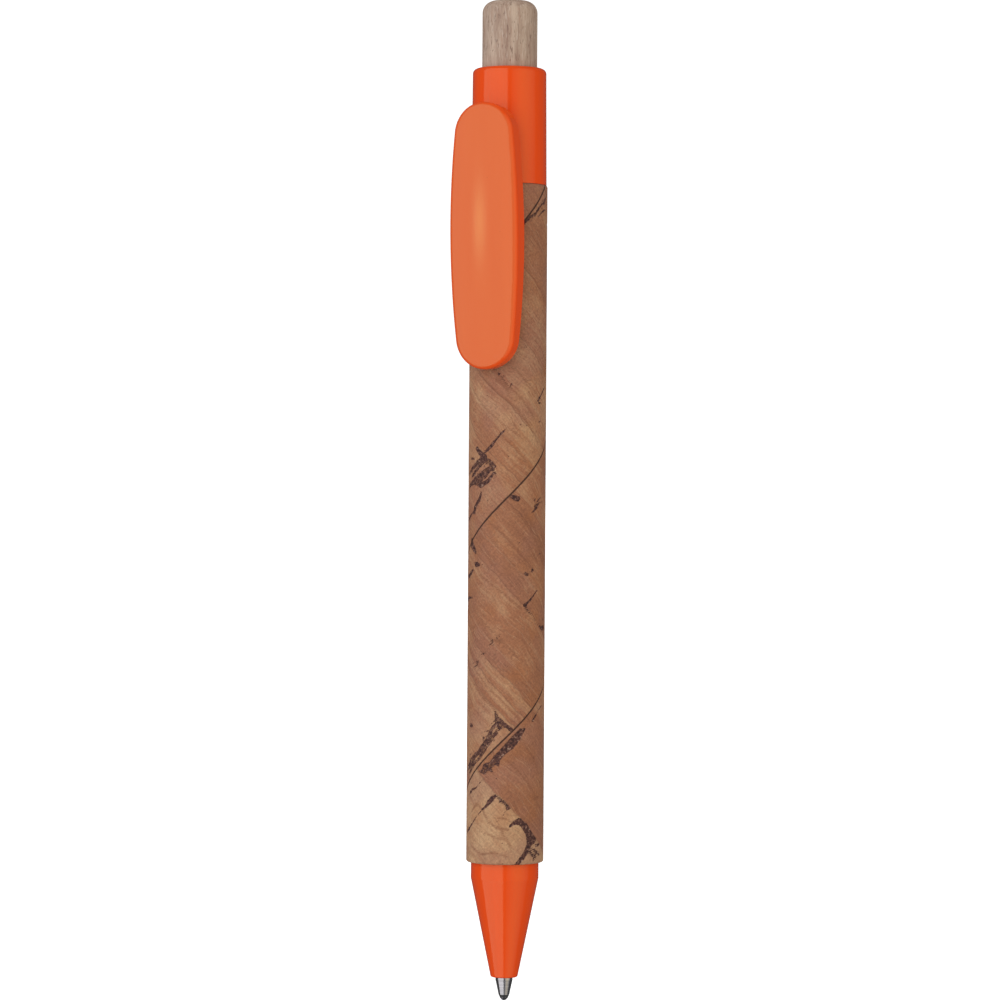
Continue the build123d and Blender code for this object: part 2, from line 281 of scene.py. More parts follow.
def moulded_abs(name, colour, flow_colour, roughness, colour_past_painted_sheen=None):
    """ABS from a polished mould: even pigment and a soft gloss with faint flow marks.

    The flow marks are 2 mm across and 18 mm long. The dust specks and the orange peel under the
    gloss are drawn at 0.4 and 0.7 mm, coarser than the real ones, so that they show.
    """
    material, tree = new_material(name)
    place = object_place(tree)
    flow = drawn_noise(tree, place, 0.45, 3.0, 0.5, (1, 1, 0.12))
    pigment = add_node(
        tree, "ShaderNodeMix", {"Factor": flow, "A": (*colour, 1), "B": (*flow_colour, 1)},
        data_type="RGBA",
    ).outputs["Result"]
    # Painted reflection: where a plain colour is passed, only the face that looks along -Y keeps the
    # lighter colour, which stands in for the key soft box's sheen; the sides turn back to the plain colour.
    if colour_past_painted_sheen:
        normal = add_node(tree, "ShaderNodeTexCoord").outputs["Normal"]
        facing = add_node(tree, "ShaderNodeSeparateXYZ", {"Vector": normal}).outputs["Y"]
        pigment = tint_where(tree, pigment, facing, -0.93, -0.62, 1.0, (*colour_past_painted_sheen, 1))
    specks = drawn_noise(tree, place, 2.6, 1.0)
    pigment = tint_where(tree, pigment, specks, 0.80, 0.83, 0.35, linear("#A8381A"))
    gloss = add_node(
        tree, "ShaderNodeMapRange", {"Value": flow, "To Min": roughness - 0.02, "To Max": roughness + 0.02},
    ).outputs["Result"]
    end_material(tree, drawn_noise(tree, place, 1.4, 2.0), 0.05, 0.02 * MM, {
        "Base Color": pigment, "Roughness": gloss, "IOR": 1.54,
        "Specular IOR Level": 0.52, "Specular Tint": linear("#D0FFD2"),
    })
    return material


def turned_wood(settings):
    """Beech turned on a lathe: fine wandering streaks, short dark pores and a dry, sanded surface.

    The streaks are 0.3 mm apart, the rings 1 mm and the blotches 2 mm. The pores are drawn 0.25 mm
    wide and 1 mm long, coarser than real ones, so that they show.
    """
    material, tree = new_material("beech_turned")
    place = object_place(tree)
    swayed = wandering(tree, place, 0.35, (0.7, 0.7, 0.0))
    streaks = drawn_noise(tree, swayed, 3.6, 5.0, 0.70, (1, 1, 0.07))
    rings = drawn_noise(tree, swayed, 0.9, 2.0, 0.5, (1, 1, 0.04))
    blotches = drawn_noise(tree, place, 0.5, 3.0, 0.6, (1, 1, 0.4))
    pores = drawn_noise(tree, swayed, 4.2, 2.0, 0.6, (1, 1, 0.22))
    rosy = drawn_noise(tree, swayed, 3.0, 2.0, 0.6, (1, 1, 0.10))
    pale = drawn_noise(tree, place, 5.0, 2.0, 0.6, (1, 1, 0.12))
    tone = sum_of(tree, (streaks, 0.60), (rings, 0.45), (blotches, 0.35), (1.0, -0.20))
    stops = [(0.30, (*settings.dark, 1)), (0.68, (*settings.light, 1))]
    colour = add_node(tree, "ShaderNodeValToRGB", {"Fac": tone}, stops=stops).outputs["Color"]
    colour = tint_where(tree, colour, pores, 0.60, 0.68, 0.62, linear("#6A4E43"))
    colour = tint_where(tree, colour, rosy, 0.58, 0.66, 0.35, linear("#A67C68"))
    colour = tint_where(tree, colour, pale, 0.58, 0.68, 0.40, linear("#D6C6B8"))
    relief = sum_of(tree, (pores, -1.0), (streaks, 0.5))
    end_material(tree, relief, 0.35, 0.03 * MM, {"Base Color": colour, "Roughness": 0.66, "IOR": 1.50})
    return material


def wound_kraft(ply_width):
    """Brown kraft paper wound in a spiral: matt, with 0.4 mm fibres and a dark line where edges meet."""
    material, tree = new_material("kraft_paper_wound")
    place = object_place(tree)
    parts = add_node(tree, "ShaderNodeSeparateXYZ", {"Vector": place}).outputs
    turn = add_node(
        tree, "ShaderNodeMath", {0: parts["Y"], 1: parts["X"]}, operation="ARCTAN2",
    ).outputs["Value"]
    spiral = sum_of(tree, (parts["Z"], MM / ply_width), (turn, -0.5 / math.pi))
    saw = add_node(tree, "ShaderNodeMath", {0: spiral}, operation="FRACT").outputs["Value"]
    joint = add_node(
        tree, "ShaderNodeMath", {0: saw, 1: 0.5, 2: 0.012}, operation="COMPARE",
    ).outputs["Value"]
    fibres = drawn_noise(tree, place, 2.4, 4.0, 0.65, (1, 1, 0.5))
    colour = add_node(
        tree, "ShaderNodeMix", {"Factor": fibres, "A": linear("#8A6646"), "B": linear("#B08B64")},
        data_type="RGBA",
    ).outputs["Result"]
    colour = add_node(
        tree, "ShaderNodeMix", {"Factor": sum_of(tree, (joint, 0.6)), "A": colour, "B": linear("#4E3826")},
        data_type="RGBA",
    ).outputs["Result"]
    end_material(tree, fibres, 0.3, 0.03 * MM, {"Base Color": colour, "Roughness": 0.86})
    return material


def plain_finish(name, hex_a, hex_b, roughness, grain_per_mm, stretch=(1, 1, 1), metallic=0.0):
    """A finish with fine tone variation, for the small pieces. Each caller says what it gives the eye."""
    material, tree = new_material(name)
    place = object_place(tree, stretch)
    grain = add_node(
        tree, "ShaderNodeTexNoise", {"Vector": place, "Scale": grain_per_mm, "Detail": 4.0},
    ).outputs["Fac"]
    stops = [(0.35, linear(hex_a)), (0.65, linear(hex_b))]
    tone = add_node(tree, "ShaderNodeValToRGB", {"Fac": grain}, stops=stops).outputs["Color"]
    end_material(tree, grain, 0.1, 0.01 * MM, {
        "Base Color": tone, "Roughness": roughness, "Metallic": metallic,
    })
    return material


# ---------------------------------------------------------------- cork ply

# Bark in the veneer, placed one by one on the show side. Each run of bark is a list of
# (millimetres round from the show side's middle, height in millimetres, half width).
BARK_RUNS = (
    # Between the upper and the middle seam
    ((-0.2, 60.5, 0.05), (-0.9, 59.8, 0.14), (-1.5, 59.1, 0.10), (-2.2, 58.2, 0.24), (-3.1, 57.4, 0.20)),
    ((-4.9, 57.8, 0.25), (-4.3, 57.2, 0.36), (-3.4, 56.6, 0.40), (-4.6, 55.8, 0.36), (-7.2, 54.2, 0.18)),
    ((-2.7, 56.1, 0.26), (-2.0, 55.2, 0.40), (-3.2, 54.6, 0.34), (-4.6, 53.8, 0.36), (-7.2, 52.4, 0.24)),
    ((-2.0, 54.3, 0.16), (-2.7, 53.3, 0.26), (-4.0, 52.6, 0.36), (-5.2, 53.2, 0.42)),
    ((-2.0, 54.9, 0.14), (-1.4, 53.8, 0.08)),
    ((-2.6, 55.0, 0.34), (-3.4, 54.0, 0.46), (-4.6, 53.3, 0.44), (-6.2, 52.9, 0.34)),
    ((-3.0, 56.2, 0.20), (-4.4, 55.2, 0.24), (-6.0, 53.9, 0.22)),
    ((-6.3, 56.4, 0.20), (-5.5, 56.3, 0.12)),
    ((-3.9, 51.8, 0.10), (-4.2, 50.8, 0.26), (-5.2, 49.6, 0.22), (-5.5, 48.8, 0.30)),
    ((-6.1, 48.7, 0.12), (-7.3, 47.8, 0.20)),
    ((6.7, 66.4, 0.14), (5.6, 65.2, 0.09)),
    ((5.3, 65.0, 0.20), (4.8, 64.3, 0.10)),
    ((5.5, 64.1, 0.15), (5.0, 64.2, 0.13)),
    ((1.8, 61.1, 0.10), (2.1, 61.0, 0.07)),
    ((5.2, 61.6, 0.12), (5.5, 61.5, 0.08)),
    ((-2.2, 69.3, 0.14), (-1.2, 68.1, 0.07), (0.1, 66.4, 0.10)),
    ((2.5, 72.0, 0.10), (2.7, 71.8, 0.08)),
    # Between the middle and the lower seam
    ((0.6, 51.1, 0.24), (1.4, 50.8, 0.42)),
    ((4.7, 49.8, 0.34), (4.3, 49.2, 0.14), (3.8, 48.9, 0.12)),
    ((4.7, 49.8, 0.18), (5.5, 50.4, 0.06)),
    ((4.6, 49.9, 0.14), (4.2, 50.9, 0.06)),
    ((-6.1, 45.2, 0.16), (-6.0, 44.3, 0.40), (-5.4, 43.7, 0.38), (-4.9, 43.1, 0.10)),
    ((-4.9, 41.7, 0.38), (-4.5, 41.6, 0.34)),
    ((-3.7, 41.7, 0.09), (-3.6, 41.6, 0.07)),
    ((-5.6, 40.9, 0.14), (-6.4, 40.3, 0.26), (-7.3, 39.8, 0.30)),
    ((-2.6, 41.1, 0.10), (-2.4, 40.9, 0.06)),
    ((2.8, 40.4, 0.26), (3.0, 40.3, 0.22)),
    ((4.0, 41.3, 0.12), (3.9, 40.8, 0.24)),
    ((5.5, 43.1, 0.12), (5.8, 43.1, 0.10)),
    ((4.9, 38.1, 0.09), (4.0, 37.2, 0.11), (3.2, 36.4, 0.16), (2.6, 36.0, 0.20)),
    ((2.6, 36.0, 0.20), (3.2, 35.2, 0.14), (4.2, 34.2, 0.07), (5.2, 33.2, 0.05), (6.0, 32.8, 0.26)),
    ((6.0, 32.8, 0.26), (6.8, 32.8, 0.40)),
    ((6.6, 34.1, 0.14), (6.8, 33.9, 0.12)),
    ((-1.5, 31.9, 0.05), (-1.3, 31.4, 0.14), (-0.9, 31.1, 0.07)),
    ((-2.4, 30.6, 0.11), (-2.1, 30.4, 0.05), (-1.6, 30.6, 0.04)),
    ((-3.3, 29.3, 0.12), (-3.7, 29.1, 0.05)),
    ((-4.6, 28.2, 0.14), (-4.4, 27.7, 0.13), (-5.0, 27.4, 0.05), (-5.4, 27.4, 0.12)),
    ((-1.5, 21.3, 0.12), (-1.2, 20.4, 0.32), (-1.1, 19.6, 0.38), (-0.8, 19.0, 0.32)),
    ((-0.8, 20.2, 0.20), (-0.2, 19.5, 0.26), (0.8, 18.8, 0.30)),
    ((-1.5, 19.5, 0.16), (-2.2, 18.4, 0.26), (-2.4, 17.6, 0.34), (-3.2, 16.6, 0.32), (-4.0, 15.6, 0.34)),
    ((-4.0, 15.6, 0.34), (-4.9, 15.0, 0.32), (-5.7, 14.3, 0.40), (-6.8, 13.2, 0.40)),
    ((-1.3, 18.4, 0.24), (-2.0, 17.4, 0.20), (-2.9, 16.0, 0.14), (-3.6, 15.1, 0.18), (-4.6, 14.2, 0.20)),
    ((-5.0, 14.1, 0.28), (-5.7, 13.2, 0.26), (-6.3, 12.5, 0.20)),
    ((-6.1, 19.2, 0.30), (-5.8, 19.1, 0.28)),
    # Below the lower seam
    ((2.8, 18.9, 0.10), (2.2, 18.5, 0.44), (1.3, 17.4, 0.60), (0.6, 16.6, 0.64), (-0.5, 15.6, 0.44)),
    ((-0.5, 15.6, 0.48), (-1.3, 14.7, 0.52), (-1.9, 14.0, 0.40)),
    ((-1.3, 14.7, 0.36), (-1.0, 13.8, 0.20)),
    ((-1.9, 14.0, 0.40), (-2.9, 13.6, 0.46), (-3.2, 12.9, 0.42), (-3.9, 12.9, 0.14)),
    ((-2.3, 13.3, 0.26), (-1.8, 12.8, 0.10)),
    ((6.5, 22.1, 0.07), (5.4, 21.4, 0.06), (4.8, 20.7, 0.12), (4.1, 19.9, 0.15)),
    ((-3.1, 12.1, 0.05), (-4.0, 11.2, 0.06), (-4.7, 10.5, 0.10), (-5.5, 10.3, 0.18), (-6.1, 9.8, 0.22)),
    ((-1.5, 9.6, 0.22), (-2.2, 8.8, 0.34), (-2.9, 8.0, 0.18), (-3.6, 7.4, 0.07), (-4.2, 6.8, 0.05)),
    ((-4.2, 6.8, 0.05), (-5.4, 5.6, 0.10), (-6.2, 4.9, 0.16), (-7.2, 4.2, 0.20)),
    ((-1.3, 9.6, 0.16), (-0.6, 9.1, 0.14), (0.0, 8.5, 0.22), (0.6, 7.9, 0.18)),
    ((0.3, 8.2, 0.10), (0.1, 7.4, 0.09), (-0.4, 6.8, 0.05)),
    ((-0.7, 9.1, 0.10), (-0.8, 8.6, 0.06)),
    (
        (0.6, 5.3, 0.10), (1.3, 5.8, 0.30), (2.0, 6.1, 0.42), (2.9, 5.3, 0.50), (3.7, 4.2, 0.54),
        (4.6, 3.4, 0.42),
    ),
    ((3.6, 4.0, 0.48), (3.7, 2.8, 0.46), (3.0, 1.6, 0.34), (2.2, 0.6, 0.30), (1.6, -0.1, 0.28)),
    ((3.5, 1.9, 0.12), (4.3, 1.3, 0.24), (5.0, 0.9, 0.16)),
    ((4.1, 2.2, 0.10), (5.2, 1.6, 0.26), (5.9, 1.2, 0.14)),
    ((4.4, 3.0, 0.08), (5.2, 2.5, 0.22), (5.9, 2.7, 0.12)),
    ((4.4, 1.3, 0.14), (4.5, 0.5, 0.12)),
    # Bark wound into the upper seam
    ((6.9, 92.9, 0.14), (6.2, 92.0, 0.20), (5.6, 91.9, 0.10), (4.8, 91.2, 0.20), (4.0, 90.4, 0.12)),
    ((4.0, 90.4, 0.12), (3.3, 90.0, 0.22), (2.4, 89.2, 0.12), (1.6, 88.4, 0.20), (0.2, 87.0, 0.14)),
    ((6.6, 91.2, 0.12), (5.6, 90.8, 0.14), (4.6, 90.0, 0.06)),
)
# Areas where the bark is broken up by paler cork, written in the same way.
BROKEN_RUNS = (
    ((-1.8, 54.6, 0.7), (-3.4, 55.2, 1.2), (-5.4, 53.8, 1.4)),
    ((-1.0, 19.9, 0.9), (-2.4, 17.8, 1.0), (-4.4, 15.4, 0.9), (-6.8, 13.2, 0.9)),
    ((-1.6, 14.3, 0.25), (-3.2, 13.2, 0.5)),
    ((4.6, 50.2, 0.9), (5.6, 50.6, 0.6)),
    ((-1.2, 31.3, 0.7), (-2.4, 30.6, 0.5)),
    ((-3.4, 29.2, 0.4), (-5.2, 27.6, 0.6)),
    ((4.3, 1.5, 0.7), (5.6, 1.5, 0.5)),
    ((7.0, 93.0, 0.6), (1.0, 87.8, 0.5)),
    ((-1.4, 68.4, 0.5), (0.6, 66.2, 0.5)),
)
# Thin brown growth lines and veins, written in the same way.
VEIN_RUNS = (
    (
        (-5.6, 7.2, 0.06), (-4.4, 8.4, 0.08), (-3.4, 7.6, 0.10), (-2.4, 6.0, 0.08), (-1.2, 5.2, 0.10),
        (0.4, 4.9, 0.10),
    ),
    ((-0.9, 5.3, 0.08), (-0.2, 4.2, 0.12), (0.6, 3.0, 0.10), (0.9, 1.8, 0.06)),
    ((-3.0, 4.4, 0.06), (-1.8, 4.0, 0.08), (-0.6, 3.6, 0.06)),
    ((-5.6, 2.4, 0.05), (-3.6, 1.4, 0.08), (-1.4, 1.7, 0.06), (0.2, 1.2, 0.05)),
    ((-1.0, 6.6, 0.05), (0.2, 6.4, 0.07), (1.0, 5.9, 0.05)),
    ((1.6, 50.0, 0.05), (2.8, 48.4, 0.08), (4.2, 46.8, 0.10), (5.6, 44.6, 0.08), (6.8, 42.4, 0.06)),
    ((0.8, 49.4, 0.04), (2.4, 47.8, 0.08), (3.8, 46.0, 0.08), (5.2, 44.0, 0.06), (6.4, 41.6, 0.05)),
    ((-0.6, 48.0, 0.04), (1.2, 46.6, 0.06), (3.2, 44.4, 0.07), (5.0, 41.8, 0.05)),
    ((-2.4, 47.4, 0.04), (-0.4, 45.8, 0.07), (1.6, 43.6, 0.06), (3.6, 41.0, 0.05)),
    ((-3.8, 46.6, 0.04), (-1.8, 44.8, 0.06), (0.4, 42.2, 0.07), (2.4, 39.8, 0.05)),
    ((-5.0, 44.8, 0.05), (-3.0, 42.8, 0.06), (-0.8, 40.4, 0.06), (1.6, 37.8, 0.05)),
    ((-4.2, 40.2, 0.06), (-2.4, 39.2, 0.05), (-0.4, 37.6, 0.06), (2.0, 35.6, 0.08)),
    ((-6.6, 66.8, 0.05), (-3.6, 63.6, 0.07), (-1.0, 61.4, 0.05), (1.8, 59.4, 0.05)),
    ((-5.0, 68.6, 0.05), (-2.0, 66.0, 0.08), (0.6, 63.8, 0.10), (3.0, 61.2, 0.07), (5.0, 58.4, 0.05)),
    ((-3.2, 69.6, 0.05), (-0.6, 67.2, 0.07), (2.0, 64.6, 0.08), (4.4, 61.6, 0.05)),
    ((-1.0, 70.4, 0.05), (1.6, 68.2, 0.08), (4.0, 65.8, 0.06), (6.0, 63.0, 0.05)),
    ((-1.6, 67.4, 0.10), (-0.6, 66.6, 0.12), (0.2, 65.4, 0.08)),
    ((-0.8, 59.4, 0.05), (1.2, 57.6, 0.09), (2.8, 55.8, 0.06), (4.0, 54.8, 0.05)),
    ((-5.8, 35.8, 0.05), (-3.4, 33.6, 0.06), (-1.0, 31.6, 0.05), (1.8, 28.6, 0.05)),
    ((-3.4, 32.6, 0.10), (-2.2, 31.2, 0.12), (-0.6, 30.9, 0.08)),
    ((-5.4, 25.2, 0.05), (-3.2, 23.0, 0.08), (-1.0, 21.0, 0.07)),
    ((-4.6, 26.6, 0.05), (-2.0, 24.2, 0.06), (0.8, 21.4, 0.07), (1.8, 20.2, 0.05)),
    ((0.2, 14.6, 0.05), (2.2, 12.6, 0.06), (4.6, 9.8, 0.06), (6.0, 7.6, 0.05)),
    ((2.4, 17.4, 0.05), (4.0, 15.2, 0.06), (5.6, 12.4, 0.06)),
    ((3.6, 9.6, 0.05), (4.6, 9.0, 0.08), (5.6, 9.4, 0.06)),
)
# Where one veneer strip ends and the next begins, in millimetres along the winding at the show
# side's middle (one turn of the winding adds one circumference), and each strip's tone.
VENEER_STRIPS = (
    (-60.0, 0.92), (-25.3, 0.36), (-22.0, 0.43), (-16.9, 0.40), (-8.0, 0.60), (-2.0, 0.42), (5.0, 0.72),
    (20.4, 0.34), (20.7, 0.62), (22.4, 0.46), (23.6, 0.68), (25.5, 0.38), (28.2, 0.50), (33.5, 0.58),
    (38.4, 0.40), (42.2, 0.52), (44.4, 0.46), (50.0, 0.36), (53.0, 0.56), (60.0, 0.42), (66.0, 0.62),
    (72.0, 0.48), (78.0, 0.66), (88.3, 0.52), (92.8, 0.72), (97.6, 0.60), (101.4, 0.70), (108.6, 0.56),
    (113.0, 0.66), (119.0, 0.48), (125.0, 0.58), (134.0, 0.44),
)
HIDDEN_RUN_COUNT = 64
CORK_BORE_RADIUS = 4.725 * MM
COLUMNS = 168
OUTER_ROWS = 440
INNER_ROWS = 110
# Unrolled, the seam isn't quite straight: away from where its height is set it falls behind a line
# at 45 degrees by the first number times its turns squared, and the second times them cubed.
SEAM_SLACK = 0.036
SEAM_SLACK_RISE = 0.012
PIT_DEPTH = 0.11 * MM
SWELL_DEPTH = 0.012 * MM
# The bark, broken and vein attributes hold millimetres inside a run plus this, to stay above zero.
DEPTH_SHIFT = 2


def seam_turns(height, settings, circumference):
    """How many turns the seam has made at a height: one for each circumference, less the slack."""
    turns = (height - settings.seam_height) / circumference
    return turns - (SEAM_SLACK + SEAM_SLACK_RISE * turns) * turns * turns


def column_places(circumference):
    """Distances round from the seam, close together at the seam where the groove is."""
    fine, coarse, reach = 0.07, 0.22, 0.7 * MM
    samples = np.linspace(0, circumference, 4000)
    away = np.minimum(samples, circumference - samples)
    spacing = coarse - (coarse - fine) * np.exp(-(away / reach) ** 2)
    count = np.concatenate([[0], np.cumsum(1 / spacing[:-1])])
    return np.interp(np.linspace(0, count[-1], COLUMNS + 1)[:-1], count, samples)


def ply_rows(low, high, radius, settings):
    """Heights and radii from the lower rim up the outside, over the top and down the bore."""
    round_off = settings.edge_rounding
    turns = [math.radians(90) * step / 4 for step in range(5)]
    lower = [(low + round_off * (1 - math.cos(t)), radius - round_off * (1 - math.sin(t))) for t in turns]
    upper = [(low + high - z, r) for z, r in reversed(lower)]
    body = [(z, radius) for z in np.linspace(low + round_off, high - round_off, OUTER_ROWS)[1:-1]]
    bore = [(z, CORK_BORE_RADIUS) for z in np.linspace(high, low, INNER_ROWS)]
    return np.array(lower + body + upper + bore)


def run_depth(across, height, run):
    """How far inside a run of bark each point lies, in millimetres, negative outside."""
    best = np.full(across.shape, -9.0)
    for (a0, z0, w0), (a1, z1, w1) in zip(run, run[1:]):
        along = np.array([a1 - a0, z1 - z0])
        share = ((across - a0) * along[0] + (height - z0) * along[1]) / (along @ along)
        share = np.clip(share, 0, 1)
        gap = np.hypot(across - a0 - share * along[0], height - z0 - share * along[1])
        best = np.maximum(best, w0 + (w1 - w0) * share - gap)
    return best


def runs_depth(across, height, runs):
    """How far inside any of the runs each point lies."""
    return np.maximum.reduce([run_depth(across, height, run) for run in runs])


def hidden_runs():
    """Bark on the sides away from the show side, mostly along the grain, in a fixed random order."""
    dice = random.Random(11)
    runs = []
    for index in range(HIDDEN_RUN_COUNT):
        across, height = dice.uniform(8.2, 26.0), dice.uniform(2.0, 92.0)
        branches = dice.choice((3, 4, 5)) if index % 9 == 0 else 1
        widest = 0.34 if branches > 1 else dice.choice((0.07, 0.09, 0.12, 0.16, 0.26))
        for _ in range(branches):
            length = dice.uniform(0.5, 3.4)
            slope = math.radians(dice.gauss(45, 14))
            run = []
            for share in (-0.5, -0.25, 0.0, 0.25, 0.5):
                sideways = dice.uniform(-0.22, 0.22)
                run.append((
                    across + share * length * math.cos(slope) - sideways,
                    height + share * length * math.sin(slope) + sideways,
                    0.04 + (widest - 0.04) * (1 - 4 * share * share) * dice.uniform(0.5, 1.0),
                ))
            runs.append(tuple(run))
            across += dice.uniform(-0.9, 0.9)
            height += dice.uniform(-0.9, 0.9)
    return runs


def roughness_at(points, scale, seed):
    """Smooth noise at each point, from -1 to 1."""
    shift = Vector((seed * 7.3, seed * 3.1, seed * 5.7))
    return np.array([noise.noise(Vector(p) * scale + shift) for p in points])


def build_cork(settings, material):
    """The cork ply as one closed skin whose columns follow the seam, with grooves and pits."""
    low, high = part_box("cork_wrap")
    radius = (high.x - low.x) / 2
    circumference = 2 * math.pi * radius
    rows = ply_rows(low.z, high.z, radius, settings)
    places = column_places(circumference)
    height, radii = rows[:, :1], rows[:, 1:]
    seam_arc = circumference * seam_turns(height, settings, circumference)
    round_mm = (seam_arc + places[None, :]) / MM
    turn_mm = circumference / MM
    across = (round_mm + turn_mm / 2) % turn_mm - turn_mm / 2
    wrapped = across % turn_mm
    height_mm = np.broadcast_to(height / MM, across.shape)
    angle = settings.show_angle + round_mm * MM / radius
    outside = np.broadcast_to(radii > CORK_BORE_RADIUS + 0.05 * MM, across.shape)

    bark = runs_depth(across, height_mm, BARK_RUNS)
    bark = np.maximum(bark, runs_depth(wrapped, height_mm, hidden_runs()))
    broken = runs_depth(across, height_mm, BROKEN_RUNS)
    vein = runs_depth(across, height_mm, VEIN_RUNS)
    seam = np.minimum(places, circumference - places)[None, :] / MM * math.sin(math.radians(45))
    seam = np.broadcast_to(seam, across.shape)
    flat = np.stack([across.ravel(), height_mm.ravel(), np.zeros(across.size)], 1)
    unit = np.stack([np.sin(angle), -np.cos(angle), height_mm / (radius / MM)], 2).reshape(-1, 3)
    swell = roughness_at(unit, 1.4, 1).reshape(across.shape)
    ragged = roughness_at(flat, 2.2, 2).reshape(across.shape)
    # Pits with ragged edges at the bark, shallower where it is broken, and a groove at the seam.
    pit = np.clip((bark + 0.12 * ragged) / 0.30, 0, 1)
    pit *= 1 - 0.7 * np.clip((broken + 0.2) / 0.5, 0, 1) * np.clip(ragged * 3, 0, 1)
    groove = np.exp(-(seam / (0.13 + 0.04 * ragged)) ** 2)
    sink = PIT_DEPTH * pit + settings.seam_depth * groove + SWELL_DEPTH * (1 - swell)
    reach = radii - np.where(outside, sink, 0)
    verts = np.stack([reach * np.sin(angle), -reach * np.cos(angle), height_mm * MM], 2).reshape(-1, 3)

    row_count = len(rows)
    faces = [
        (r * COLUMNS + c, r * COLUMNS + (c + 1) % COLUMNS,
         (r + 1) % row_count * COLUMNS + (c + 1) % COLUMNS, (r + 1) % row_count * COLUMNS + c)
        for r in range(row_count) for c in range(COLUMNS)
    ]
    piece = make_piece("cork_ply", verts, faces, material)
    depths = {"bark": DEPTH_SHIFT + bark, "broken": DEPTH_SHIFT + broken, "vein": DEPTH_SHIFT + vein}
    for name, values in {**depths, "seam": seam}.items():
        layer = piece.data.attributes.new(name, "FLOAT", "POINT")
        layer.data.foreach_set("value", np.clip(values, 0, 30).astype(np.float32).ravel())
    add_strip_map(piece.data, rows, places, seam_arc, circumference)
    return piece


def add_strip_map(mesh, rows, places, seam_arc, circumference):
    """A UV map in millimetres: along the wound strip, and across it from its edge."""
    row_count = len(rows)
    ends = np.append(places, circumference)
    diagonal = math.sqrt(2)
    corners = []
    for next_row, next_column in ((0, 0), (0, 1), (1, 1), (1, 0)):
        row = (np.arange(row_count) + next_row) % row_count
        shift = ends[next_column:next_column + COLUMNS][None, :]
        along = (seam_arc[row] + shift + rows[row, :1]) / diagonal
        across_strip = np.broadcast_to(shift / diagonal, along.shape)
        corners.append(np.stack([along, across_strip], 2))
    uv = np.stack(corners, 2).reshape(-1) / MM
    mesh.uv_layers.new(name="strip").data.foreach_set("uv", uv.astype(np.float32))


def veneer_tone(tree, along):
    """The tone of the veneer strip at a place along the winding, as stepped stops."""
    first, last = VENEER_STRIPS[0][0], VENEER_STRIPS[-1][0] + 40
    share = add_node(tree, "ShaderNodeMapRange", {"Value": along, "From Min": first, "From Max": last})
    stops = [((place - first) / (last - first), (tone, tone, tone, 1)) for place, tone in VENEER_STRIPS]
    ramp = add_node(
        tree, "ShaderNodeValToRGB", {"Fac": share.outputs["Result"]},
        stops=[stops[0], stops[-1], *stops[1:-1]],
    )
    ramp.color_ramp.interpolation = "CONSTANT"
    return ramp.outputs["Color"]


